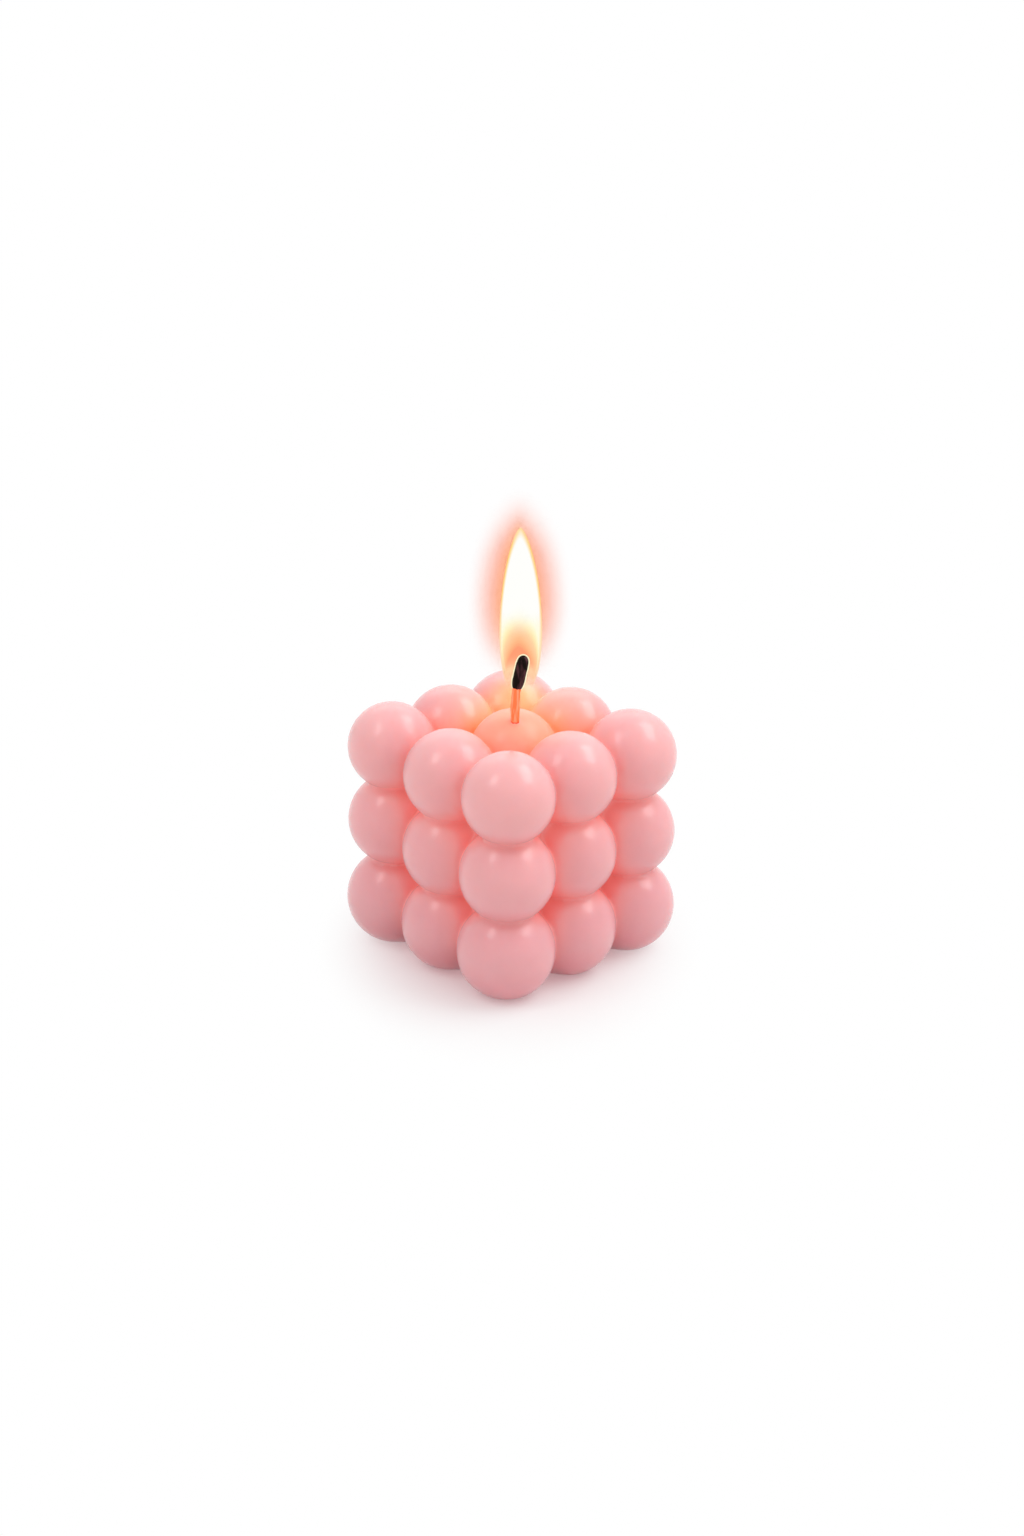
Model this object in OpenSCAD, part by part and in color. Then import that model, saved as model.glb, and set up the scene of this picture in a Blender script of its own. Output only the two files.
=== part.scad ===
// Bubble cube candle: one wax casting of fused bubbles with a lit cotton wick.
// The base rests on Z = 0, its middle is at the origin, and +Z is up.

/* [Wax] */
// Bubbles along each edge of the cube
bubbles_per_side = 3; // [2:1:4]
// Radius of the bubbles at half height
bubble_r = 10.8; // [10.4:0.1:12]
// How much larger the bubbles of a layer are than those of the layer above it
layer_swell = 0.2; // [0:0.05:0.3]
// Distance between neighbouring bubbles of one layer
bubble_pitch = 19.2; // [18:0.1:19.8]
// Height from one layer of bubbles to the next
layer_pitch = 18.4; // [17.6:0.1:19.8]
// Depth that the level pour takes off the lowest bubbles
base_cut = 0.8; // [0.4:0.1:2]

/* [Wick] */
// Diameter of the cotton wick
wick_d = 1.9; // [1.4:0.05:2.2]
// Clearance between the wick and its channel in the wax
wick_fit = 0.05; // [0.02:0.01:0.2]
// How far the wick stands off the middle of the cube along X
wick_x = 3.5; // [-4:0.1:4]
// How far the wick stands off the middle of the cube along Y
wick_y = -2.7; // [-4:0.1:4]
// Height of the upright stalk above the top of the wax
stalk_h = 4.2; // [2:0.1:8]
// Radius of the bend above the stalk, to the middle of the wick
bend_r = 20; // [12:0.5:30]
// Angle that the burnt end leans over
lean_angle = 12.5; // [5:0.5:20]
// Direction of the lean, measured round from +X
lean_heading = 46; // [0:1:359]
// Diameter of the burnt end at its thickest
char_d = 2.7; // [2.4:0.05:3]
// Length of the burnt end
char_l = 8.2; // [6:0.1:10]
// Length of the bend that the burnt end takes in
char_wrap = 1.5; // [1:0.1:2.2]

/* [Flame] */
// Height of the flame from foot to tip
flame_h = 39.5; // [30:0.5:60]
// Width of the flame at its belly
flame_w = 9.5; // [9:0.1:14]
// Height of the belly above the foot of the flame
belly_h = 14.5; // [12:0.5:18]
// Width of the flame at its foot
foot_w = 6; // [5.8:0.1:7]
// Height of the foot above the top of the wax
foot_lift = 4.9; // [3:0.1:6]
// Clearance between the flame and the wick inside it
flame_fit = 0.3; // [0.1:0.05:0.4]
// Fullness of the outline above the belly: lower is blunter
tip_power = 0.75; // [0.6:0.05:1]
// Fullness of the outline below the belly: lower is fuller
foot_power = 1.3; // [1:0.1:2]
// Roundness of the ends of the burnt wick: higher is squarer
char_power = 3.5; // [2.5:0.1:5]

/* [Hidden] */

// The bubbles' centres, counted from the middle of the cube
side_half = (bubbles_per_side - 1) * bubble_pitch / 2;
layer_low = layer_r(0) - base_cut;
layer_high = layer_low + (bubbles_per_side - 1) * layer_pitch;
wax_w = 2 * (side_half + layer_r(0));
wax_h = layer_high + layer_r(bubbles_per_side - 1);

wick_r = wick_d / 2;
bend_z = wax_h + stalk_h;
bend_out = bend_r * (1 - cos(lean_angle));
bend_up = bend_r * sin(lean_angle);

// The flame stands over the middle of the burnt end
flame_out = bend_out + (char_l / 2 - char_wrap) * sin(lean_angle);
flame_z = wax_h + foot_lift;
outline_steps = 12;

$fn = 72;

// Radius of the bubbles of one layer, counted from the lowest
function layer_r(layer) = bubble_r + layer_swell * ((bubbles_per_side - 1) / 2 - layer);

// Radius of the flame at a height above its foot
function flame_radius(z) =
    z > belly_h
        ? flame_w / 2 * pow(1 - pow((z - belly_h) / (flame_h - belly_h), 2), tip_power)
        : foot_w / 2 + (flame_w - foot_w) / 2 * pow(1 - pow(1 - z / belly_h, 2), foot_power);

// Half of the flame's outline, from the foot to the tip
function flame_outline() = concat(
    [[0, 0]],
    [for (i = [0 : outline_steps]) let (z = belly_h * i / outline_steps) [flame_radius(z), z]],
    [for (i = [1 : outline_steps - 1])
        let (z = belly_h + (flame_h - belly_h) * sin(90 * i / outline_steps)) [flame_radius(z), z]],
    [[0, flame_h]]
);

// Half of the outline of a round-ended rod that runs up from the origin
function rod_outline(r, l) = [
    for (i = [0 : outline_steps])
        let (z = -cos(180 * i / outline_steps))
        [r * pow(1 - pow(abs(z), char_power), 1 / char_power), l * (1 + z) / 2]
];

// One row of the lattice: the bubbles' places on either side of the middle
function lattice_row() = [for (i = [0 : bubbles_per_side - 1]) i * bubble_pitch - side_half];

module bubbles() {
    for (x = lattice_row(), y = lattice_row(), layer = [0 : bubbles_per_side - 1])
        translate([x, y, layer_low + layer * layer_pitch])
            rotate([0, 0, 45])
                sphere(r = layer_r(layer));
}

// Wax between the bubbles: it closes each pocket at the outer bubbles' middles
module core() {
    translate([-side_half, -side_half, -base_cut])
        cube([2 * side_half, 2 * side_half, layer_high + base_cut]);
}

// Everything under the level of the poured wax
module below_base() {
    translate([-wax_w, -wax_w, -2 * bubble_r])
        cube([2 * wax_w, 2 * wax_w, 2 * bubble_r]);
}

// The whole wick, or with grow the space that it needs
module wick_rod(grow = 0) {
    translate([wick_x, wick_y, 0]) {
        cylinder(r = wick_r + grow, h = bend_z);
        translate([0, 0, bend_z])
            rotate([0, 0, lean_heading])
                leaning_end(grow);
    }
}

module leaning_end(grow) {
    translate([bend_r, 0, 0])
        rotate([90, 0, 0])
            rotate_extrude(angle = lean_angle, start = 180 - lean_angle)
                translate([bend_r, 0])
                    circle(r = wick_r + grow);
    translate([bend_out, 0, bend_up])
        rotate([0, lean_angle, 0])
            translate([0, 0, -char_wrap - grow])
                rotate_extrude()
                    polygon(rod_outline(char_d / 2 + grow, char_l + 2 * grow));
}

module wax_body() {
    color("#f2b3b3")
        difference() {
            union() {
                bubbles();
                core();
            }
            below_base();
            wick_rod(wick_fit);
        }
}

module wick() {
    color("#e8764a")
        wick_rod();
}

module flame() {
    color("#ffe9b8", 0.7)
        difference() {
            translate([wick_x, wick_y, flame_z])
                rotate([0, 0, lean_heading])
                    translate([flame_out, 0, 0])
                        rotate_extrude()
                            polygon(flame_outline());
            wick_rod(flame_fit);
        }
}

wax_body();
wick();
flame();
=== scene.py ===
# Bubble cube candle, burning: the looks around the fixed frame of solids.
import itertools
import math

import bpy
from mathutils import Matrix, Vector


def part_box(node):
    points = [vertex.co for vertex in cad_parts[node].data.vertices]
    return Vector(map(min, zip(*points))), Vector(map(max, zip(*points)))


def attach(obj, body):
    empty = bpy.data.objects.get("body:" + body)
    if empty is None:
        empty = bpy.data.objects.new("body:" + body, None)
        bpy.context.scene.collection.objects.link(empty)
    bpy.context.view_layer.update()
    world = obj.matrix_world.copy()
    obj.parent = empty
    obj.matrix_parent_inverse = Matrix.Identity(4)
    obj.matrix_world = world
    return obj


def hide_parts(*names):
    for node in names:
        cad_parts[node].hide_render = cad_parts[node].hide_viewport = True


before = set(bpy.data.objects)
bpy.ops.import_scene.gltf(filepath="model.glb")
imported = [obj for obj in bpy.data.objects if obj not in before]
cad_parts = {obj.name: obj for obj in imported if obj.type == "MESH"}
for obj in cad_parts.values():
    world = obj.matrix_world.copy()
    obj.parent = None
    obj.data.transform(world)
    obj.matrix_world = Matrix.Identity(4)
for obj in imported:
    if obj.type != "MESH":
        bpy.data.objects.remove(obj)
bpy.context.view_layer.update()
waxLow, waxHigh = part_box("wax_body")
wickLow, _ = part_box("wick")
flameLow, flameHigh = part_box("flame")
mm = 0.001


# Small helpers for node trees

class Amount:
    # A value in a node tree: a sum with one adds a math node to that tree
    def __init__(self, socket):
        self.socket = socket
        self.tree = socket.id_data

    def __add__(self, other):
        return calc("ADD", self, other)

    def __sub__(self, other):
        return calc("SUBTRACT", self, other)

    def __rsub__(self, other):
        return calc("SUBTRACT", other, self)

    def __mul__(self, other):
        return calc("MULTIPLY", self, other)

    def __truediv__(self, other):
        return calc("DIVIDE", self, other)

    def __rtruediv__(self, other):
        return calc("DIVIDE", other, self)

    def __mod__(self, other):
        return calc("FLOORED_MODULO", self, other)

    def __pow__(self, other):
        return calc("POWER", self, other)

    def __neg__(self):
        return calc("MULTIPLY", self, -1.0)

    def __abs__(self):
        return calc("ABSOLUTE", self)


def feed(socket, value):
    # Links a value of the tree to a socket, or sets a plain one on it
    if isinstance(value, Amount):
        socket.id_data.links.new(value.socket, socket)
    else:
        socket.default_value = value


def addNode(tree, kind, inputs=(), **settings):
    node = tree.nodes.new(kind)
    for name, value in settings.items():
        setattr(node, name, value)
    for key, value in inputs.items() if isinstance(inputs, dict) else enumerate(inputs):
        feed(node.inputs[key], value)
    return node


def made(tree, kind, inputs=(), output=0, **settings):
    # A new node, and what it puts out
    return Amount(addNode(tree, kind, inputs, **settings).outputs[output])


def named(sockets):
    # What sockets hold, by their names
    return {socket.name: Amount(socket) for socket in sockets if socket.name}


def treeOf(values):
    return next(value.tree for value in values if isinstance(value, Amount))


def calc(operation, *values, clamp=False):
    # Works on vectors and colours where one of the values is one
    tree = treeOf(values)
    if any(isinstance(value, Amount) and value.socket.type in ("VECTOR", "RGBA") for value in values):
        output = "Value" if operation in ("LENGTH", "DISTANCE", "DOT_PRODUCT") else "Vector"
        return made(tree, "ShaderNodeVectorMath", values, output, operation=operation)
    return made(tree, "ShaderNodeMath", values, operation=operation, use_clamp=clamp)


def remaining(value):
    # What a value leaves of 1, and never less than nothing
    return calc("SUBTRACT", 1.0, value, clamp=True)


def joined(*numbers):
    return made(treeOf(numbers), "ShaderNodeCombineXYZ", numbers)


def parts(vector):
    return [Amount(socket) for socket in addNode(vector.tree, "ShaderNodeSeparateXYZ", (vector,)).outputs]


def scaled(vector, amount):
    return made(vector.tree, "ShaderNodeVectorMath", {0: vector, "Scale": amount}, operation="SCALE")


def spread(value, low, high, toLow=0.0, toHigh=1.0, smooth=True):
    return made(value.tree, "ShaderNodeMapRange", (value, low, high, toLow, toHigh),
                interpolation_type="SMOOTHSTEP" if smooth else "LINEAR")


def mixed(share, low, high):
    colours = [(*colour, 1) if isinstance(colour, tuple) else colour for colour in (low, high)]
    return made(share.tree, "ShaderNodeMix", {0: share, 6: colours[0], 7: colours[1]}, 2, data_type="RGBA")


def coloured(value, *stops):
    # A colour ramp with a colour at each of the places
    places = [place for place, _ in stops]
    level = spread(value, places[0], places[-1], smooth=False)
    ramp = addNode(level.tree, "ShaderNodeValToRGB", (level,))
    elements = ramp.color_ramp.elements
    elements[0].color = (*stops[0][1], 1)
    elements[1].color = (*stops[-1][1], 1)
    for place, colour in stops[1:-1]:
        elements.new((place - places[0]) / (places[-1] - places[0])).color = (*colour, 1)
    return Amount(ramp.outputs[0])


def noisy(place, scale, detail, roughness=0.5):
    return made(place.tree, "ShaderNodeTexNoise", {
        "Vector": place, "Scale": scale, "Detail": detail, "Roughness": roughness})


def seededNoise(place, seed, scale, detail):
    return made(place.tree, "ShaderNodeTexNoise", {
        "Vector": place, "W": seed, "Scale": scale, "Detail": detail}, noise_dimensions="4D")


def newTree(name, inputs, outputs=("Geometry: Geometry",), kind="GeometryNodeTree"):
    # A socket is told by its name, and by its kind where that is no plain number
    tree = bpy.data.node_groups.new(name, kind)
    for direction, sockets in (("INPUT", inputs), ("OUTPUT", outputs)):
        for text in sockets:
            socketName, _, socketKind = text.partition(": ")
            tree.interface.new_socket(
                socketName, in_out=direction, socket_type="NodeSocket" + (socketKind or "Float"))
    given = named(tree.nodes.new("NodeGroupInput").outputs)
    return tree, given, tree.nodes.new("NodeGroupOutput").inputs


def passedOn(given, inputs):
    # The inputs of a tree that it hands to a group inside it
    return {name: given[name] for name in (text.partition(":")[0] for text in inputs)}


def useGroup(tree, group, values):
    kind = "ShaderNodeGroup" if group.bl_idname == "ShaderNodeTree" else "GeometryNodeGroup"
    node = tree.nodes.new(kind)
    node.node_tree = group
    for name, value in values.items():
        feed(node.inputs[name], value)
    return named(node.outputs)


def newLoop(tree, passes, numbers=()):
    # A repeat zone that carries a geometry from pass to pass, or else these numbers
    start = tree.nodes.new("GeometryNodeRepeatInput")
    end = tree.nodes.new("GeometryNodeRepeatOutput")
    start.pair_with_output(end)
    if numbers:
        end.repeat_items.clear()
    for number in numbers:
        end.repeat_items.new("FLOAT", number)
    feed(start.inputs["Iterations"], passes)
    return named(start.outputs), end.inputs, named(end.outputs)


def inUse(sockets):
    # The socket called Value that the node's settings put to use
    return next(socket for socket in sockets if socket.name == "Value" and socket.enabled)


def moved(geometry, **places):
    return made(geometry.tree, "GeometryNodeSetPosition", {"Geometry": geometry, **places})


def marked(geometry, name, value):
    return made(geometry.tree, "GeometryNodeStoreNamedAttribute", {
        "Geometry": geometry, "Name": name, "Value": value})


def together(*geometries):
    join = geometries[0].tree.nodes.new("GeometryNodeJoinGeometry")
    for geometry in geometries:
        feed(join.inputs[0], geometry)
    return Amount(join.outputs[0])


def dress(result, geometry, material):
    # Every tree of a piece ends so
    tree = geometry.tree
    smooth = made(tree, "GeometryNodeSetShadeSmooth", {"Geometry": geometry})
    whole = made(tree, "GeometryNodeRealizeInstances", {"Geometry": smooth})
    feed(result["Geometry"], made(tree, "GeometryNodeSetMaterial", {
        "Geometry": whole, "Material": material}))


def placeInScene(name, data):
    thing = bpy.data.objects.new(name, data)
    bpy.context.scene.collection.objects.link(thing)
    return thing


def grown(name, tree, values, start=None):
    # Runs a tree on an object and keeps the result as a plain mesh. An input called
    # Bubble Radius takes the value called bubbleRadius
    maker = placeInScene(name + " maker", start or bpy.data.meshes.new(name + " start"))
    modifier = maker.modifiers.new("Tree", "NODES")
    modifier.node_group = tree
    for item in tree.interface.items_tree:
        key = item.name[0].lower() + item.name[1:].replace(" ", "")
        if item.in_out == "INPUT" and key in values:
            modifier[item.identifier] = values[key]
    graph = bpy.context.evaluated_depsgraph_get()
    mesh = bpy.data.meshes.new_from_object(
        maker.evaluated_get(graph), preserve_all_data_layers=True, depsgraph=graph)
    maker.modifiers.clear()
    bpy.data.objects.remove(maker)
    mesh.name = name
    return placeInScene(name, mesh)


def newMaterial(name, settings):
    # A material with these plain values on its shader, and where its colour is looked up
    material = bpy.data.materials.new(name)
    material.use_nodes = True
    tree = material.node_tree
    sockets = tree.nodes["Principled BSDF"].inputs
    for socketName, value in settings.items():
        sockets[socketName].default_value = value
    return material, tree, sockets, made(tree, "ShaderNodeTexCoord", output="Object")


def attribute(tree, name):
    return made(tree, "ShaderNodeAttribute", output="Fac", attribute_name=name)


def makeGlowGroup():
    # How much of the flame's light is painted into what stands near it, as if it soaked in
    tree, given, result = newTree(
        "flame glow", ["Middle: Vector", "Near", "Far", "Turned"], ["Glow"], "ShaderNodeTree")
    here = named(tree.nodes.new("ShaderNodeTexCoord").outputs)
    way = given["Middle"] - here["Object"]
    near = spread(calc("LENGTH", way), given["Near"], given["Far"], 1.0, 0.0)
    towards = calc("DOT_PRODUCT", calc("NORMALIZE", way), here["Normal"])
    # Turned is the share that only a surface turned to the flame receives
    feed(result["Glow"], near * remaining(remaining(towards) * given["Turned"]))
    return tree


def glowFrom(tree, glowGroup, name, turned=0.0):
    # One of the flame's glows, about its own place behind and below the foot
    glow = flame[name]
    middle = flameFoot - levelFront * glow["behind"] - Vector((0, 0, glow["below"]))
    return useGroup(tree, glowGroup, {
        "Middle": middle, "Near": glow["near"], "Far": glow["far"], "Turned": turned})["Glow"]


# Wax: the field whose zero is the surface of the casting

wax = {
    "bubblesPerSide": 3,
    "bubbleRadius": 10.8 * mm,  # at half height
    "layerSwell": 0.2 * mm,  # how much larger a layer's bubbles are than those above
    "baseCut": 0.8 * mm,
    "creaseBlend": 0.22 * mm,  # softness of the rings where two bubbles meet
    "pocketBlend": 4.5 * mm,  # softness of the floors of the pockets
    "baseRounding": 1.2 * mm,
    "collarBlend": 1.6 * mm,  # softness of the collar of wax that climbs the wick
    "collarDrop": 0.3 * mm,  # how far below the bubble's surface its edge starts
    "collarShare": 0.9,  # of the wick's radius: how far in the collar reaches
    "dimpleRadius": 1.7 * mm,  # the dip round the wick's trimmed end below
    "dimpleBelow": 0.6 * mm,
    "dimpleBlend": 0.8 * mm,
    "crowdReach": 4.0 * mm,  # how far the painted shade of a crease reaches into the wax round it
    "unevenness": 0.09 * mm,  # the slight waviness of a hand cast surface
    "unevenSize": 9.0 * mm,
    "seed": 3.0,
    # Where hand casting left bubbles off their places: column, row and layer, then how far
    # right, up and towards the camera, and how much larger, in millimetres
    "offPlace": {
        (0, 0, 2): (-0.6, 1.15, 0.0, -0.4),
        (0, 0, 1): (0.0, 1.5, 0.0, 0.0),
        (0, 0, 0): (0.0, 0.35, 0.0, 0.25),
        (0, 1, 2): (-1.3, 0.3, 0.0, 0.0),
        (0, 2, 2): (-0.9, -1.5, 0.0, 1.1),
        (1, 2, 2): (-0.35, 0.4, 0.0, 0.0),
        (2, 2, 2): (0.0, 0.4, 0.0, 0.0),
        (1, 1, 2): (0.3, 0.1, 0.0, -0.3),
        (1, 0, 2): (0.0, -0.4, 0.0, 0.0),
        (2, 1, 2): (-0.1, -0.2, 0.0, -0.05),
        (2, 0, 2): (0.0, 0.0, 0.0, -0.15),
        (2, 0, 0): (0.0, 0.0, 0.4, 0.15),
        (2, 1, 0): (0.0, 0.0, 0.5, 0.25),
        (2, 2, 0): (0.1, 0.0, 0.5, 0.2),
    },
    "voxel": 0.60 * mm,
    "quickVoxel": 1.0 * mm,
    "voxelMargin": 1.5 * mm,
    "crowdStops": (1.1, 1.475, 2.03, 2.6),  # how crowded it is where these four colours stand, from open bubble to painted pocket shade
    # Painted shade: lighter on the open bubbles, darker and redder in the creases and pockets
    "bright": (0.865, 0.43, 0.435),
    "body": (0.85, 0.39, 0.40),
    "crease": (0.88, 0.385, 0.375),
    "pocket": (0.92, 0.265, 0.24),
    "low": (0.93, 0.91, 0.95),  # painted shade on the lowest layer, where no light of the flame soaks in
    "soaked": (0.12, 0.026, 0.020),  # light that comes through the wax into the pockets, painted on as a glow
    "soakedFade": (1.55, 2.5),  # how crowded it is where that light starts and is full
    "ground": (0.96, 0.74, 0.78),  # painted shade close to the ground
    "groundReach": 11.0 * mm,
    "warmed": (1.0, 0.52, 0.255),  # the flame's light painted on the wax it soaks through
    "warmedCrease": (0.98, 0.34, 0.115),
    "warmedFade": (1.2, 2.4),  # how crowded it is where the one goes over into the other
    "warmedShare": 0.9,
    "hottest": (1.0, 0.545, 0.25),  # the flame's light painted on the wax right behind the flame
    "beneath": (0.98, 0.39, 0.205),  # the flame's light painted on the wax right below it
    "beneathShare": 0.52,
    "coat": (0.75, 0.1),  # away from the flame, and right below it where the wax glows
    "roughness": (0.40, 0.45),
    "shader": {
        "IOR": 1.44, "Specular IOR Level": 0.45, "Coat Roughness": 0.17, "Coat IOR": 1.45,
        "Subsurface Weight": 0.7, "Subsurface Radius": (1.0, 0.45, 0.35), "Subsurface Scale": 5.0 * mm,
        "Sheen Weight": 0.2, "Sheen Roughness": 0.08, "Sheen Tint": (1.0, 0.88, 0.88, 1),
        "Emission Strength": 1.0},
    "mottle": 0.012,  # how much lighter and darker the mottling goes
    "mottleScale": 260.0,
    "grain": 0.003 * mm,
    "grainScale": 1500.0,
}
steps = wax["bubblesPerSide"] - 1
lowestRadius = wax["bubbleRadius"] + wax["layerSwell"] * steps / 2
highestRadius = wax["bubbleRadius"] - wax["layerSwell"] * steps / 2
bubblePitch = (waxHigh.x - waxLow.x - 2 * lowestRadius) / steps
lowestLayer = lowestRadius - wax["baseCut"]
layerPitch = (waxHigh.z - highestRadius - lowestLayer) / steps
fieldInputs = [
    "Offsets: Geometry", "Bubbles Per Side: Int", "Bubble Radius", "Layer Swell", "Pitch", "Layer Pitch",
    "Lowest Layer", "Crease Blend", "Pocket Blend", "Base Rounding", "Crowd Reach", "Wick Foot: Vector",
    "Wick Radius", "Collar Blend", "Collar Drop", "Collar Share", "Dimple Radius", "Dimple Below",
    "Dimple Blend"]


def sampled(geometry, value, kind, index):
    # A value at one point of a mesh
    node = addNode(geometry.tree, "GeometryNodeSampleIndex", {"Geometry": geometry, "Index": index},
                   data_type=kind)
    feed(inUse(node.inputs), value)
    return Amount(inUse(node.outputs))


def makeOffsets():
    # A point for each bubble, as far from the origin as the bubble is off its place
    count = wax["bubblesPerSide"]
    side = Vector((-levelFront.y, levelFront.x, 0))
    points, growths = [], []
    for layer, row, column in itertools.product(range(count), repeat=3):
        right, up, nearer, growth = wax["offPlace"].get((column, row, layer), (0, 0, 0, 0))
        points.append((side * right + levelFront * nearer + Vector((0, 0, up))) * mm)
        growths.append(growth * mm)
    mesh = bpy.data.meshes.new("bubble offsets")
    mesh.from_pydata(points, [], [])
    mesh.attributes.new("growth", "FLOAT", "POINT").data.foreach_set("value", growths)
    return mesh


def makeWaxField():
    # How far a point is outside the wax, and how crowded the bubbles are round it, for the painted crease
    # shade
    tree, given, result = newTree(
        "wax field", fieldInputs + ["Point: Vector"], ["Distance", "Crowding"])
    point = given["Point"]
    count = given["Bubbles Per Side"]
    pitch = given["Pitch"]
    radius = given["Bubble Radius"]
    middle = (count - 1.0) * 0.5
    half = middle * pitch

    # One pass of the loop for each bubble of the lattice
    soFar, carry, total = newLoop(tree, count ** 3.0, ("Nearness", "Crowding"))
    index = soFar["Iteration"]
    row = calc("FLOOR", index / count)
    column = index % count
    layer = calc("FLOOR", row / count)
    row = row % count
    centre = joined((column - middle) * pitch, (row - middle) * pitch,
                    layer * given["Layer Pitch"] + given["Lowest Layer"])
    layerRadius = (middle - layer) * given["Layer Swell"] + radius

    # Each bubble has a point that tells how far it is off its place, and how much larger
    offset = made(tree, "GeometryNodeInputPosition")
    growth = made(tree, "GeometryNodeInputNamedAttribute", {"Name": "growth"}, data_type="FLOAT")
    centre = centre + sampled(given["Offsets"], offset, "FLOAT_VECTOR", index)
    layerRadius = layerRadius + sampled(given["Offsets"], growth, "FLOAT", index)
    away = layerRadius - calc("DISTANCE", point, centre)
    for name, reach in (("Nearness", "Crease Blend"), ("Crowding", "Crowd Reach")):
        feed(carry[name], soFar[name] + calc("EXPONENT", away / given[reach]))
    bubbles = calc("LOGARITHM", total["Nearness"], math.e) * -given["Crease Blend"]

    # The core that closes the pockets, as a box
    x, y, z = parts(point)
    top = (count - 1.0) * given["Layer Pitch"] + given["Lowest Layer"]
    overX = abs(x) - half
    overY = abs(y) - half
    overZ = z - top
    outside = calc("LENGTH", calc("MAXIMUM", joined(overX, overY, overZ), (0.0, 0.0, 0.0)))
    inside = calc("MINIMUM", calc("MAXIMUM", calc("MAXIMUM", overX, overY), overZ), 0.0)
    solid = calc("SMOOTH_MIN", bubbles, outside + inside, given["Pocket Blend"])

    # The wax climbs the wick a little, and dips round its trimmed end below
    wickX, wickY, _ = parts(given["Wick Foot"])
    fromWick = calc("LENGTH", joined(x - wickX, y - wickY, 0.0))
    topRadius = middle * -given["Layer Swell"] + radius
    share = calc("LENGTH", joined(wickX, wickY, 0.0)) / topRadius
    dip = calc("SQRT", 1.0 - share * share)
    collarTop = topRadius * dip + (top - given["Collar Drop"])
    collar = calc("MAXIMUM", fromWick - given["Wick Radius"] * given["Collar Share"], z - collarTop)
    solid = calc("SMOOTH_MIN", solid, collar, given["Collar Blend"])
    dimple = given["Dimple Radius"] - calc("DISTANCE", point, joined(wickX, wickY, -given["Dimple Below"]))
    solid = calc("SMOOTH_MAX", solid, dimple, given["Dimple Blend"])
    feed(result["Distance"], calc("SMOOTH_MAX", solid, -z, given["Base Rounding"]))
    feed(result["Crowding"], total["Crowding"])
    return tree


def makeWaxTree():
    field = makeWaxField()
    tree, given, result = newTree("bubble lattice", fieldInputs + [
        "Low Corner: Vector", "High Corner: Vector", "Voxel", "Unevenness", "Uneven Size", "Seed",
        "Material: Material"])
    position = made(tree, "GeometryNodeInputPosition")

    def wavy(point):
        # The field at a point, with the slow waviness of the cast surface
        plain = useGroup(tree, field, {**passedOn(given, fieldInputs), "Point": point})
        noise = seededNoise(point, given["Seed"], 1.0 / given["Uneven Size"], 1.0)
        return plain["Distance"] + (noise - 0.5) * given["Unevenness"], plain["Crowding"]

    # A coarse surface from voxels, with a slope of the field eight voxels wide
    size = parts(given["High Corner"] - given["Low Corner"])
    counts = [calc("CEIL", side / given["Voxel"]) for side in size]
    distance, _ = wavy(position)
    volume = made(tree, "GeometryNodeVolumeCube", {
        "Density": calc("SUBTRACT", 0.5, distance / (given["Voxel"] * 8.0), clamp=True),
        "Min": given["Low Corner"], "Max": given["High Corner"],
        "Resolution X": counts[0], "Resolution Y": counts[1], "Resolution Z": counts[2]})
    geometry = made(tree, "GeometryNodeVolumeToMesh", {
        "Volume": volume, "Threshold": 0.5, "Adaptivity": 0.0}, resolution_mode="GRID")

    # Evened out, then pulled on to the exact surface, twice
    reach = 0.05 * mm
    for passes in (3, 1):
        evened = addNode(
            tree, "GeometryNodeBlurAttribute", {"Iterations": passes}, data_type="FLOAT_VECTOR")
        feed(inUse(evened.inputs), position)
        geometry = moved(geometry, Position=Amount(inUse(evened.outputs)))
        here, _ = wavy(position)
        slope = joined(*(
            (wavy(position + offset)[0] - here) / reach
            for offset in ((reach, 0, 0), (0, reach, 0), (0, 0, reach))))
        steep = calc("DOT_PRODUCT", slope, slope)
        geometry = moved(geometry, Offset=scaled(slope, -here / calc("MAXIMUM", steep, 0.1)))

    _, crowding = wavy(position)
    dress(result, marked(geometry, "crowding", crowding), given["Material"])
    return tree


def makeWax(material):
    margin = Vector((wax["voxelMargin"],) * 3)
    piece = grown("wax_bubbles", makeWaxTree(), {
        **wax,
        "pitch": bubblePitch,
        "layerPitch": layerPitch,
        "lowestLayer": lowestLayer,
        "wickFoot": wickFoot,
        "wickRadius": wickRadius,
        "lowCorner": waxLow - margin,
        "highCorner": waxHigh + margin,
        "voxel": wax["voxel"],
        "material": material,
    }, makeOffsets())
    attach(piece, "root")
    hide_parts("wax_body")
    return piece


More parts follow.
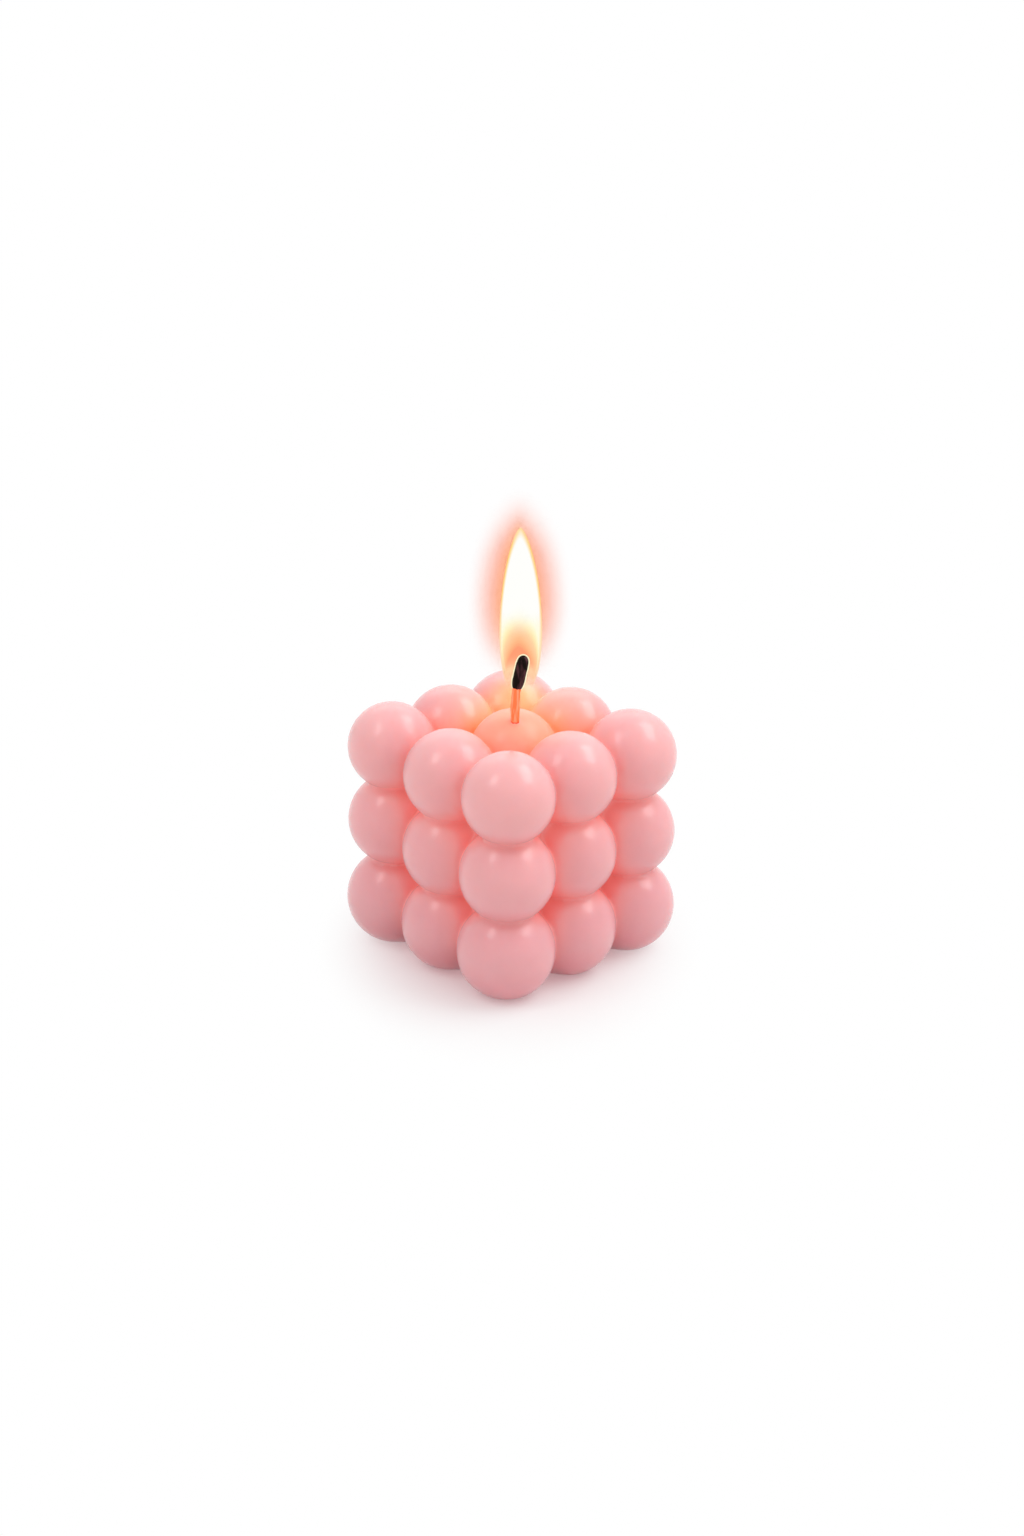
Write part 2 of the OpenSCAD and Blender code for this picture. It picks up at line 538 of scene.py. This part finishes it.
def makeWaxMaterial(glowGroup):
    material, tree, sockets, place = newMaterial("pink candle wax", wax["shader"])
    crowding = attribute(tree, "crowding")
    # Painted shade: darker, redder wax where the bubbles crowd into creases and pockets
    colours = (wax["bright"], wax["body"], wax["crease"], wax["pocket"])
    colour = coloured(crowding, *zip(wax["crowdStops"], colours))
    # Painted shade: slightly darker on the lowest layer and close to the ground
    level = parts(place)[2]
    height = spread(level, lowestLayer, lowestLayer + layerPitch * steps)
    colour = colour * mixed(height, wax["low"], (1, 1, 1))
    colour = colour * mixed(spread(level, 0.0, wax["groundReach"]), wax["ground"], (1, 1, 1))

    # Under the flame its light is painted into the colour, peach on the bubbles and orange in the creases
    deep = spread(crowding, *wax["warmedFade"])
    glow = glowFrom(tree, glowGroup, "glowInWax", (1.0 - deep) * flame["glowInWax"]["turned"])
    hot = glowFrom(tree, glowGroup, "glowBehind", flame["glowBehind"]["turned"])
    beneath = glowFrom(tree, glowGroup, "glowBeneath")
    colour = mixed(glow * wax["warmedShare"], colour, mixed(deep, wax["warmed"], wax["warmedCrease"]))
    colour = mixed(hot, colour, wax["hottest"])
    colour = mixed(beneath * wax["beneathShare"], colour, wax["beneath"])
    # Painted glow: light through the wax, added as emission in the pockets
    feed(sockets["Emission Color"], mixed(spread(crowding, *wax["soakedFade"]), (0, 0, 0), wax["soaked"]))
    feed(sockets["Coat Weight"], spread(beneath, 0.0, 1.0, *wax["coat"], smooth=False))

    # Cast wax is mottled very slightly, and finely grained
    clouds = noisy(place, wax["mottleScale"], 4.0)
    shade = spread(clouds, 0.3, 0.7, 1.0 - wax["mottle"], 1.0 + wax["mottle"], smooth=False)
    feed(sockets["Base Color"], scaled(colour, shade))
    feed(sockets["Roughness"], spread(clouds, 0.3, 0.7, *wax["roughness"], smooth=False))
    feed(sockets["Normal"], made(tree, "ShaderNodeBump", {
        "Height": noisy(place, wax["grainScale"], 3.0, 0.6), "Strength": 1.0, "Distance": wax["grain"]}))
    return material


# Wick: strands that cross over and under, and the burnt end that leans over

wick = {
    "diameter": 1.9 * mm,
    "stalkHeight": 2.55 * mm,
    "bendRadius": 30.0 * mm,
    "leanAngle": math.radians(11.5),
    "leanHeading": math.radians(46),
    "charLength": 8.2 * mm,
    "charWrap": 2.0 * mm,
    "charDiameter": 2.85 * mm,
    "charPower": 3.6,  # roundness of its ends: higher is squarer
    "charTip": 1.0,  # how much rounder than that the upper end is
    "trim": 0.3 * mm,  # how far the lower end stays above the ground
    "strandOverlap": 0.25,  # of the burnt end's length: how far the strands go on inside it
    "strandPairs": 4,
    "strandRadius": 0.42 * mm,
    "strandSides": 10,
    "strandsOut": 0.12 * mm,  # how far the strands stand out from the rod
    "coreInset": 0.10 * mm,
    "coreSides": 24,
    "lay": 24.0 * mm,  # length in which a strand goes once round
    "weaveDepth": 0.035 * mm,
    "swell": 0.07,  # how uneven the burnt end is
    "taper": 0.06,  # how much thicker it is at the top than at its middle
    "seed": 5.0,
    "step": 0.3 * mm,
    # The cotton's orange is the flame's light painted on white cotton
    "cotton": (0.85, 0.20, 0.08),
    # lighter threads, partly a painted highlight along the wick
    "cottonLight": (1.0, 0.40, 0.24),
    "cottonFoot": (0.50, 0.03, 0.04),  # painted shade where it leaves the wax
    "footFade": (0.1 * mm, 0.6 * mm),  # so far over the wax
    "char": (0.005, 0.0015, 0.002),
    "charStreak": (0.085, 0.032, 0.04),
    "lit": (0.45, 0.055, 0.012),  # light of the flame that comes through the cotton, painted on as a glow
    "fibreScale": 2600.0,  # fibres, threads and cracks run along the wick
    "fibreDepth": 0.05 * mm,
    "fibreStretch": 0.12,
    "threadScale": 1100.0,
    "threadFade": (0.44, 0.58),
    "crackScale": 900.0,
    "crackStretch": 0.22,
    "crackFade": (0.47, 0.66),
    "shader": {"Roughness": 0.8, "Specular IOR Level": 0.12, "Emission Strength": 1.0},
}
wickRadius = wick["diameter"] / 2
wickFoot = Vector((wickLow.x + wickRadius, wickLow.y + wickRadius, 0))
bendStart = waxHigh.z + wick["stalkHeight"]
charStart = bendStart + wick["bendRadius"] * wick["leanAngle"] - wick["charWrap"]
routeInputs = ["Foot: Vector", "Upright", "Bend Radius", "Lean Angle", "Lean Heading"]
burntInputs = routeInputs + [
    "Lay", "Char Start", "Char Length", "Char Radius", "Char Power", "Char Tip", "Swell", "Taper", "Seed",
    "Strand Pairs: Int"]


def makeWickRoute():
    # The middle of the wick and the two directions across it, at a length along it
    tree, given, result = newTree(
        "wick route", routeInputs + ["Along"], ["Middle: Vector", "Across: Vector", "Beside: Vector"])
    bendRadius = given["Bend Radius"]
    past = given["Along"] - given["Upright"]
    turned = calc("MAXIMUM", calc("MINIMUM", past / bendRadius, given["Lean Angle"]), 0.0)
    beyond = calc("MAXIMUM", past - bendRadius * given["Lean Angle"], 0.0)
    sine = calc("SINE", turned)
    cosine = calc("COSINE", turned)
    out = beyond * sine + bendRadius * (1.0 - cosine)
    rise = beyond * cosine + (bendRadius * sine + calc("MINIMUM", given["Along"], given["Upright"]))
    wayX = calc("COSINE", given["Lean Heading"])
    wayY = calc("SINE", given["Lean Heading"])
    feed(result["Middle"], given["Foot"] + joined(wayX * out, wayY * out, rise))
    feed(result["Across"], joined(wayX * cosine, wayY * cosine, -sine))
    feed(result["Beside"], joined(-wayY, wayX, 0.0))
    return tree


def placed(given, route, along, across, beside):
    # A point at a length along the wick, and so far across and beside its middle
    spot = useGroup(along.tree, route, {**passedOn(given, routeInputs), "Along": along})
    return spot["Middle"] + scaled(spot["Across"], across) + scaled(spot["Beside"], beside)


def makeBurntTree(route):
    # The burnt end: a round-ended rod with the braid's ridges, swollen and cracked
    tree, given, result = newTree("burnt end", burntInputs + ["Material: Material"])
    pairs = given["Strand Pairs"]
    ball = made(tree, "GeometryNodeMeshUVSphere", {"Segments": 40, "Rings": 56, "Radius": 1.0})
    x, y, z = parts(made(tree, "GeometryNodeInputPosition"))
    flatX, flatY, _ = parts(calc("NORMALIZE", joined(x, y, 0.0)))
    along = (z * 0.5 + 0.5) * given["Char Length"] + given["Char Start"]
    power = given["Char Power"] - z * given["Char Tip"]
    outline = remaining(abs(z) ** power) ** (1.0 / power)
    turns = along / given["Lay"] * math.tau
    angle = calc("ARCTAN2", flatY, flatX)
    ridges = []
    for side in (1.0, -1.0):
        wave = calc("COSINE", pairs * (turns * -side + angle))
        ridges.append(wave * (calc("COSINE", turns * pairs) * (0.5 * side) + 0.5))
    ridge = calc("MAXIMUM", *ridges)
    # Lumps on top of the ridges, shorter along the wick than round it
    around, lengthways, lumpiness = 1.2, 3.0, 2.2
    spot = joined(flatX * around, flatY * around, z * lengthways)
    lumps = seededNoise(spot, given["Seed"], 1.1, 3.0)
    rough = (lumps - 0.5) * lumpiness + (ridge - 0.75)
    swell = rough * given["Swell"] + (z * given["Taper"] + 1.0)
    out = outline * swell * given["Char Radius"]
    burnt = moved(ball, Position=placed(given, route, along, out * flatX, out * flatY))
    dress(result, burnt, given["Material"])
    return tree


def makeWickTree(route, burntTree):
    tree, given, result = newTree("braided wick", burntInputs + [
        "Length", "Strand Radius", "Strand Sides: Int", "Ring Radius", "Weave Depth", "Core Radius",
        "Core Sides: Int", "Step", "Material: Material"])
    pairs = given["Strand Pairs"]
    along = made(tree, "GeometryNodeSplineParameter", output="Factor") * given["Length"]
    turns = along / given["Lay"] * math.tau

    def rod(part, across, beside):
        count = calc("CEIL", given["Length"] / given["Step"])
        line = made(tree, "GeometryNodeCurvePrimitiveLine")
        points = made(tree, "GeometryNodeResampleCurve", {"Curve": line, "Count": count})
        loop = made(tree, "GeometryNodeCurvePrimitiveCircle", {
            "Resolution": given[part + " Sides"], "Radius": given[part + " Radius"]})
        return made(tree, "GeometryNodeCurveToMesh", {
            "Curve": moved(points, Position=placed(given, route, along, across, beside)),
            "Profile Curve": loop, "Fill Caps": True})

    # One pass for each strand: every other one winds the other way
    soFar, carry, braid = newLoop(tree, pairs * 2.0)
    index = soFar["Iteration"]
    way = 1.0 - (index % 2.0) * 2.0
    angle = way * turns + calc("FLOOR", index * 0.5) / pairs * math.tau
    weave = way * calc("COSINE", turns * pairs)
    out = weave * given["Weave Depth"] + given["Ring Radius"]
    strand = rod("Strand", out * calc("COSINE", angle), out * calc("SINE", angle))
    feed(carry["Geometry"], together(soFar["Geometry"], strand))

    burnt = useGroup(tree, burntTree, passedOn(given, burntInputs))["Geometry"]
    pieces = together(
        marked(braid["Geometry"], "charring", 0.0), marked(rod("Core", 0.0, 0.0), "charring", 0.0),
        marked(burnt, "charring", 1.0))
    dress(result, pieces, given["Material"])
    return tree


def burntValues(extra=0.0):
    # What the burnt end grows from, larger by so much at its sides and its upper end
    return {
        **wick,
        "foot": wickFoot + Vector((0, 0, wick["trim"])),
        "upright": bendStart - wick["trim"],
        "charStart": charStart - wick["trim"],
        "charLength": wick["charLength"] + extra,
        "charRadius": wick["charDiameter"] / 2 + extra,
    }


def makeWick(route, burntTree, material):
    piece = grown("wick_braid", makeWickTree(route, burntTree), {
        **burntValues(),
        "length": charStart + wick["strandOverlap"] * wick["charLength"] - wick["trim"],
        "ringRadius": wickRadius - wick["strandRadius"] + wick["strandsOut"],
        "coreRadius": wickRadius - wick["coreInset"] + wick["strandsOut"],
        "material": material,
    })
    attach(piece, "root")
    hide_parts("wick")
    return piece


def makeWickMaterial(glowGroup):
    material, tree, sockets, place = newMaterial("cotton wick, burnt at the end", wick["shader"])
    charring = attribute(tree, "charring")
    fibreWay, crackWay = (
        made(tree, "ShaderNodeMapping", {"Vector": place, "Scale": (1.0, 1.0, wick[stretch])})
        for stretch in ("fibreStretch", "crackStretch"))
    # The flame's orange light painted on the cotton, its lighter threads partly a painted highlight
    threads = noisy(fibreWay, wick["threadScale"], 2.0)
    cotton = mixed(spread(threads, *wick["threadFade"]), wick["cotton"], wick["cottonLight"])
    # Painted shade where the wick leaves the wax
    topMiddle = (0.0, 0.0, lowestLayer + layerPitch * steps)
    overWax = calc("DISTANCE", place, topMiddle) - highestRadius
    cotton = mixed(spread(overWax, *wick["footFade"]), wick["cottonFoot"], cotton)
    streaks = noisy(crackWay, wick["crackScale"], 3.0)
    burnt = mixed(spread(streaks, *wick["crackFade"]), wick["char"], wick["charStreak"])
    feed(sockets["Base Color"], mixed(charring, cotton, burnt))
    # Painted glow: the flame's light in the unburnt cotton, as emission
    unburnt = glowFrom(tree, glowGroup, "glowInWick") * (1.0 - charring)
    feed(sockets["Emission Color"], mixed(unburnt, (0, 0, 0), wick["lit"]))
    feed(sockets["Normal"], made(tree, "ShaderNodeBump", {
        "Height": noisy(fibreWay, wick["fibreScale"], 4.0, 0.6), "Strength": 0.6,
        "Distance": wick["fibreDepth"]}))
    return material


# Flame: nested shells of burning gas, each an outline turned round the flame's axis. A set goes
# from its first outline to its last, which is inset at the sides, raised at the foot and dropped
# at the tip

flame = {
    "height": 39.5 * mm,
    "width": 9.5 * mm,
    "bellyHeight": 14.5 * mm,
    "footWidth": 6.0 * mm,
    "tipPower": 0.70,
    "footPower": 1.3,
    "footRounding": 1.5 * mm,
    "sides": 64,
    "rings": 56,
    "drift": -0.5 * mm,  # how far the tip sways
    "mantle": {
        "shells": 5, "inset": 0.5 * mm, "footInset": 0.5 * mm, "raised": 0.4 * mm, "dropped": 2.2 * mm,
        "fade": (2.5 * mm, 8 * mm), "veil": 0.9, "veilFade": (15 * mm, 23 * mm)},
    "heart": {
        "shells": 14, "lift": 0.6 * mm, "height": 21.0 * mm, "width": 8.6 * mm, "bellyHeight": 13.0 * mm,
        "footWidth": 5.2 * mm, "inset": 0.9 * mm, "footInset": 0.9 * mm, "dropped": 9.6 * mm,
        "bellyDropped": 9.6 * mm, "fade": (1.5 * mm, 7 * mm), "low": (1.0, 0.60, 0.35),
        "lowFade": (9.5 * mm, 4 * mm)},
    "halo": {  # gather is how much of its density lies close to the flame
        "shells": 24, "rings": 40, "shift": -0.4 * mm, "margin": 7.4 * mm, "above": 9.2 * mm,
        "below": 3.3 * mm, "footPower": 0.5, "tipPower": 0.5, "density": 2.35, "gather": 2.2,
        "fade": (2 * mm, 24 * mm), "tipFade": (30.5 * mm, 43.5 * mm), "near": (1.0, 0.42, 0.18),
        "far": (1.0, 0.34, 0.20)},
    "rim": 0.28 * mm,  # thickness of the pale light round the burnt wick
    "rimColour": (1.0, 0.90, 0.60, 1),
    "rimFade": (0.2 * mm, 1.4 * mm),
    # Where its light is strongest in what stands near it, measured from its foot, and how far it
    # reaches. Turned is the share that only a surface turned to that place receives
    "glowInWax": {"behind": 12.5 * mm, "below": 12 * mm, "near": 9 * mm, "far": 24 * mm, "turned": 0.72},
    "glowBehind": {"behind": 22 * mm, "below": 7 * mm, "near": 2 * mm, "far": 11 * mm, "turned": 0.25},
    "glowBeneath": {"behind": 0.0, "below": 0.0, "near": 6 * mm, "far": 20 * mm},
    "glowInWick": {"behind": 0.0, "below": 0.0, "near": 4 * mm, "far": 20 * mm},
}
flameFoot = Vector(((flameLow.x + flameHigh.x) / 2, (flameLow.y + flameHigh.y) / 2, flameLow.z))


def makeShellTree():
    tree, given, result = newTree("flame shells", [
        "Foot: Vector", "Lift", "Height", "Width", "Belly Height", "Foot Width", "Tip Power", "Foot Power",
        "Foot Rounding", "Drift X", "Drift Y", "Inset", "Foot Inset", "Raised", "Dropped", "Belly Dropped",
        "Tip Change", "Foot Change", "Shells: Int", "Sides: Int", "Rings: Int", "Material: Material"])

    # One pass for each shell, from the first to the innermost
    soFar, carry, shells = newLoop(tree, given["Shells"])
    depth = soFar["Iteration"] / calc("MAXIMUM", given["Shells"] - 1.0, 1.0)
    height = given["Height"] - depth * (given["Raised"] + given["Dropped"])
    belly = given["Belly Height"] - depth * (given["Raised"] + given["Belly Dropped"])
    width = given["Width"] - depth * (given["Inset"] * 2.0)
    footWidth = given["Foot Width"] - depth * (given["Foot Inset"] * 2.0)
    tipPower = given["Tip Power"] + depth * given["Tip Change"]
    footPower = given["Foot Power"] + depth * given["Foot Change"]

    ball = made(tree, "GeometryNodeMeshUVSphere", {
        "Segments": given["Sides"], "Rings": given["Rings"], "Radius": 1.0})
    x, y, z = parts(made(tree, "GeometryNodeInputPosition"))
    share = z * 0.5 + 0.5
    rise = share * height
    over = calc("MAXIMUM", (rise - belly) / (height - belly), 0.0)
    upper = width * remaining(over * over) ** tipPower
    under = remaining(rise / belly)
    lower = (width - footWidth) * remaining(under * under) ** footPower + footWidth
    above = calc("GREATER_THAN", rise, belly)
    across = upper * above + lower * (1.0 - above)
    closing = remaining(rise / given["Foot Rounding"])
    radius = across * 0.5 * calc("SQRT", 1.0 - closing * closing)
    ring = scaled(calc("NORMALIZE", joined(x, y, 0.0)), radius)
    sway = share * share
    middle = joined(given["Drift X"] * sway, given["Drift Y"] * sway,
                    rise + (given["Lift"] + depth * given["Raised"]))
    shell = marked(moved(ball, Position=given["Foot"] + middle + ring), "depth", depth)
    feed(carry["Geometry"], together(soFar["Geometry"], shell))
    dress(result, shells["Geometry"], given["Material"])
    return tree


def makeShells(name, tree, material, shape):
    # What a shape leaves out is as on the flame itself
    return grown(name, tree, {
        **flame,
        **shape,
        "foot": flameFoot + viewRight * shape.get("shift", 0.0),
        "driftX": flame["drift"] * viewRight.x,
        "driftY": flame["drift"] * viewRight.y,
        "material": material,
    })


def onlySeen(piece):
    # Light in the air: it is seen and mirrored, but throws no shadow and lights nothing by itself
    piece.visible_shadow = False
    piece.visible_diffuse = False


def newGas(name):
    # A material that only glows, with the height over the foot and the depth of a shell
    material, tree, sockets, place = newMaterial(name, {
        "Base Color": (0, 0, 0, 1), "Roughness": 1.0, "Specular IOR Level": 0.0, "Emission Strength": 1.0})
    return material, sockets, parts(place)[2] - flameFoot.z, attribute(tree, "depth")


def seenThrough(sockets, far, near=0.0):
    # The far side of a shell is seen through its near side, which would veil the wick
    behind = made(far.tree, "ShaderNodeNewGeometry", output="Backfacing")
    feed(sockets["Alpha"], behind * far + (1.0 - behind) * near)


def makeMantleMaterial():
    # A thin yellow edge that pales inwards to the white body
    material, sockets, rise, depth = newGas("flame mantle")
    tip = flame["height"]
    edge = coloured(
        rise, (4 * mm, (1.0, 0.63, 0.38)), (10 * mm, (1.0, 0.76, 0.50)), (17 * mm, (1.0, 0.72, 0.36)),
        (24 * mm, (1.0, 0.66, 0.17)), (tip - 5 * mm, (1.0, 0.66, 0.17)), (tip, (1.0, 0.76, 0.40)))
    body = coloured(
        rise, (5 * mm, (1.0, 0.63, 0.38)), (9 * mm, (1.0, 0.80, 0.46)), (14 * mm, (1.0, 0.95, 0.66)),
        (20 * mm, (1.0, 1.0, 0.97)))
    feed(sockets["Emission Color"], mixed(depth, edge, body))
    shape = flame["mantle"]
    near = spread(depth, 0.9, 1.0) * spread(rise, *shape["veilFade"], 0.0, shape["veil"])
    seenThrough(sockets, spread(rise, *shape["fade"]), near)
    return material


def makeHeartMaterial():
    # The dim heart over the wick: pale at its outer shells, orange at the innermost
    material, sockets, rise, depth = newGas("flame heart")
    inner = coloured(
        depth, (0.0, (1.0, 1.0, 0.84)), (0.13, (1.0, 0.97, 0.66)), (0.26, (1.0, 0.88, 0.50)),
        (0.38, (1.0, 0.77, 0.40)), (0.50, (1.0, 0.63, 0.36)), (0.63, (1.0, 0.58, 0.32)),
        (0.75, (1.0, 0.52, 0.26)), (0.88, (1.0, 0.42, 0.20)), (1.0, (1.0, 0.30, 0.16)))
    shape = flame["heart"]
    feed(sockets["Emission Color"], mixed(spread(rise, *shape["lowFade"]), inner, shape["low"]))
    # Half of the shells together veil what is behind them by this much
    veil = calc("MINIMUM", spread(rise, *shape["fade"]), 0.998)
    seenThrough(sockets, 1.0 - (1.0 - veil) ** (2 / shape["shells"]))
    return material


def makeRimMaterial():
    # Pale light close round the burnt wick
    material, sockets, rise, _ = newGas("pale rim of the wick")
    feed(sockets["Emission Color"], flame["rimColour"])
    seenThrough(sockets, spread(rise, *flame["rimFade"]))
    return material


def makeFlame(shellTree, burntTree):
    pieces = [
        makeShells("flame_mantle", shellTree, makeMantleMaterial(), flame["mantle"]),
        makeShells("flame_heart", shellTree, makeHeartMaterial(), flame["heart"]),
        grown("flame_rim", burntTree, {**burntValues(flame["rim"]), "material": makeRimMaterial()}),
    ]
    for piece in pieces:
        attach(piece, "root")
        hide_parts("flame")
        onlySeen(piece)


def makeHalo(shellTree):
    # The glow in the air round the flame: light, and no part of the candle
    shape = flame["halo"]
    material, sockets, rise, depth = newGas("glow in the air")
    feed(sockets["Emission Color"], mixed(spread(depth, 0.6, 1.0), shape["far"], shape["near"]))
    gathered = depth ** (shape["gather"] - 1.0) * (shape["density"] * shape["gather"] / shape["shells"])
    gathered = gathered * spread(rise, *shape["fade"]) * spread(rise, *shape["tipFade"], 1.0, 0.5)
    seenThrough(sockets, 1.0 - calc("EXPONENT", -gathered))
    # Its outermost shell is an ellipse, and its innermost the flame's own outline
    whole = flame["height"] + shape["above"] + shape["below"]
    halo = makeShells("halo", shellTree, material, {
        **shape,
        "lift": -shape["below"],
        "height": whole,
        "width": flame["width"] + 2 * shape["margin"],
        "bellyHeight": whole / 2,
        "footWidth": 0.0,
        "inset": shape["margin"],
        "footInset": -flame["footWidth"] / 2,
        "bellyDropped": whole / 2 - shape["below"] - flame["bellyHeight"],
        "raised": shape["below"],
        "dropped": shape["above"],
        "tipChange": flame["tipPower"] - shape["tipPower"],
        "footChange": flame["footPower"] - shape["footPower"],
    })
    onlySeen(halo)
    halo.visible_glossy = False


# Studio: white ground, level light, and the warm light of the flame

studio = {
    "worldLight": 0.76,
    "floorHalf": 3.0,
    "floorSeen": (0.49, 0.61, 0.60),  # colour of the ground as the camera sees it, less green and blue so its shadow gets a painted pink
    "floorBounce": (0.79, 0.79, 0.79),  # colour of the ground as it lights the wax from below
    "floorLevel": 1.02,  # brightness of the unshaded ground
    "shadowSize": (46 * mm, 66 * mm),  # the shadow ends this far to the sides and in front
    "shadowFade": (0.42, 1.02),  # the share of that size over which it thins out
    "boxDistance": 3.0,
    "boxes": (  # from where to where, as right, up and towards the camera; then width and power
        ("left softbox", (-0.42, 0.80, 0.42), (-0.58, 0.47, 0.66), 0.8, 12.5),
        ("right softbox", (0.36, 0.92, -0.10), (0.72, 0.48, 0.49), 1.3, 40.0),
        ("back softbox", (-0.5, 0.80, -0.40), (0.5, 0.80, -0.40), 1.4, 9.0),
    ),
    "flamePower": 0.0010,
    "flameColour": (1.0, 0.50, 0.25),
    "flameRadius": 3.5 * mm,
    "flameLightRise": 6.0 * mm,
}


def seenRay(tree):
    # Rays that show the ground itself: straight from the camera, mirrored or through glass
    path = named(tree.nodes.new("ShaderNodeLightPath").outputs)
    return calc("MAXIMUM", path["Is Camera Ray"], calc(
        "MAXIMUM", path["Is Glossy Ray"], path["Is Transmission Ray"]))


def makeWorld():
    world = bpy.data.worlds.new("white studio")
    bpy.context.scene.world = world
    world.use_nodes = True
    background = world.node_tree.nodes["Background"].inputs
    feed(background["Color"], (1, 1, 1, 1))
    feed(background["Strength"], spread(
        seenRay(world.node_tree), 0.0, 1.0, studio["worldLight"], 1.0, smooth=False))


def seenWay(sideways, upwards, nearer):
    # A direction given as the camera sees it
    return viewRight * sideways + viewUp * upwards + viewBack * nearer


def boxWay(start, end):
    # Direction from the candle to the middle of a softbox
    return seenWay(*(Vector(start).normalized() + Vector(end).normalized())).normalized()


def makeFloor():
    half = studio["floorHalf"]
    mesh = bpy.data.meshes.new("floor")
    corners = [(-half, -half, 0), (half, -half, 0), (half, half, 0), (-half, half, 0)]
    mesh.from_pydata(corners, [], [(0, 1, 2, 3)])
    floor = placeInScene("floor", mesh)
    material, tree, _, place = newMaterial("white ground", {})
    tree.nodes.remove(tree.nodes["Principled BSDF"])
    seen = seenRay(tree)
    # What the lamps and the world leave to the level of the open ground
    light = studio["worldLight"]
    for _, start, end, _, power in studio["boxes"]:
        light += power / (math.pi * studio["boxDistance"]) ** 2 * boxWay(start, end).z
    # Painted pink in the shadow: the seen ground darkens more in green and blue than in red
    liftColour = [studio["floorLevel"] - shade * light for shade in studio["floorSeen"]]
    matte = made(tree, "ShaderNodeBsdfDiffuse", (mixed(seen, studio["floorBounce"], studio["floorSeen"]),))
    lift = made(tree, "ShaderNodeEmission", {"Color": (*liftColour, 1), "Strength": seen})
    lit = made(tree, "ShaderNodeAddShader", (matte, lift))
    plain = made(tree, "ShaderNodeEmission", {"Color": (1, 1, 1, 1), "Strength": 1.0})
    ways = (levelFront.cross(Vector((0, 0, -1))), levelFront)
    sideways, forwards = (
        calc("DOT_PRODUCT", place, way / size) for way, size in zip(ways, studio["shadowSize"]))
    away = spread(calc("LENGTH", joined(sideways, forwards, 0.0)), *studio["shadowFade"])
    both = made(tree, "ShaderNodeMixShader", (away * seen, lit, plain))
    feed(tree.nodes["Material Output"].inputs["Surface"], both)
    mesh.materials.append(material)


def makeLamps():
    middle = (waxLow + waxHigh) / 2
    distance = studio["boxDistance"]
    for name, start, end, width, power in studio["boxes"]:
        way = boxWay(start, end)
        along = seenWay(*(Vector(end).normalized() - Vector(start).normalized()))
        data = bpy.data.lights.new(name, "AREA")
        data.shape = "RECTANGLE"
        data.size = width
        data.size_y = along.length * distance
        data.energy = power
        along = (along - way * along.dot(way)).normalized()
        turned = Matrix((along.cross(way), along, way)).transposed().to_4x4()
        placeInScene(name, data).matrix_world = Matrix.Translation(middle + way * distance) @ turned
    data = bpy.data.lights.new("flame light", "POINT")
    data.energy = studio["flamePower"]
    data.color = studio["flameColour"]
    data.shadow_soft_size = studio["flameRadius"]
    placeInScene("flame light", data).location = flameFoot + Vector((0, 0, studio["flameLightRise"]))


# Camera, as fitted to the outlines of the photographed bubbles

view = {
    "azimuth": math.radians(46.55),
    "elevation": math.radians(21.71),
    "distance": 562.6 * mm,  # from the middle of the lattice
    "roll": math.radians(-0.92),
    "focalPixels": 2418.0,
    "frameHeight": 1536,
    "frameWidth": 1024,
    "middleAt": (511.3, 826.8),  # where the middle of the lattice shows, in pixels
    "sensor": 36.0,
}


def makeCamera():
    a, e = view["azimuth"], view["elevation"]
    back = Vector((math.sin(a) * math.cos(e), -math.cos(a) * math.cos(e), math.sin(e)))
    turned = (-back).to_track_quat("-Z", "Y").to_matrix() @ Matrix.Rotation(-view["roll"], 3, "Z")
    right, up = turned.col[0].copy(), turned.col[1].copy()
    # Stands so that the middle of the lattice shows where the photo has it
    middle = Vector((0, 0, lowestLayer + layerPitch * steps / 2))
    perPixel = view["distance"] / view["focalPixels"]
    sideways = (view["frameWidth"] / 2 - view["middleAt"][0]) * perPixel
    upwards = (view["middleAt"][1] - view["frameHeight"] / 2) * perPixel
    place = middle + back * view["distance"] + right * sideways + up * upwards
    data = bpy.data.cameras.new("camera")
    data.lens = view["focalPixels"] * view["sensor"] / view["frameHeight"]
    data.sensor_width = view["sensor"]
    data.clip_start = 0.05
    data.clip_end = 20
    camera = placeInScene("camera", data)
    camera.matrix_world = Matrix.Translation(place) @ turned.to_4x4()
    bpy.context.scene.camera = camera
    return back, right, up


print("camera")
viewBack, viewRight, viewUp = makeCamera()
levelFront = Vector((viewBack.x, viewBack.y, 0)).normalized()
print("wax")
glowGroup = makeGlowGroup()
waxPiece = makeWax(makeWaxMaterial(glowGroup))
print("wax triangles", sum(len(face.vertices) - 2 for face in waxPiece.data.polygons))
print("wick")
route = makeWickRoute()
burntTree = makeBurntTree(route)
wickPiece = makeWick(route, burntTree, makeWickMaterial(glowGroup))
print("wick triangles", sum(len(face.vertices) - 2 for face in wickPiece.data.polygons))
print("flame")
shellTree = makeShellTree()
makeFlame(shellTree, burntTree)
print("studio")
makeWorld()
makeFloor()
makeHalo(shellTree)
makeLamps()
scene = bpy.context.scene
scene.view_settings.view_transform = "Standard"
scene.cycles.transparent_max_bounces = 128  # the flame's shells lie one behind another
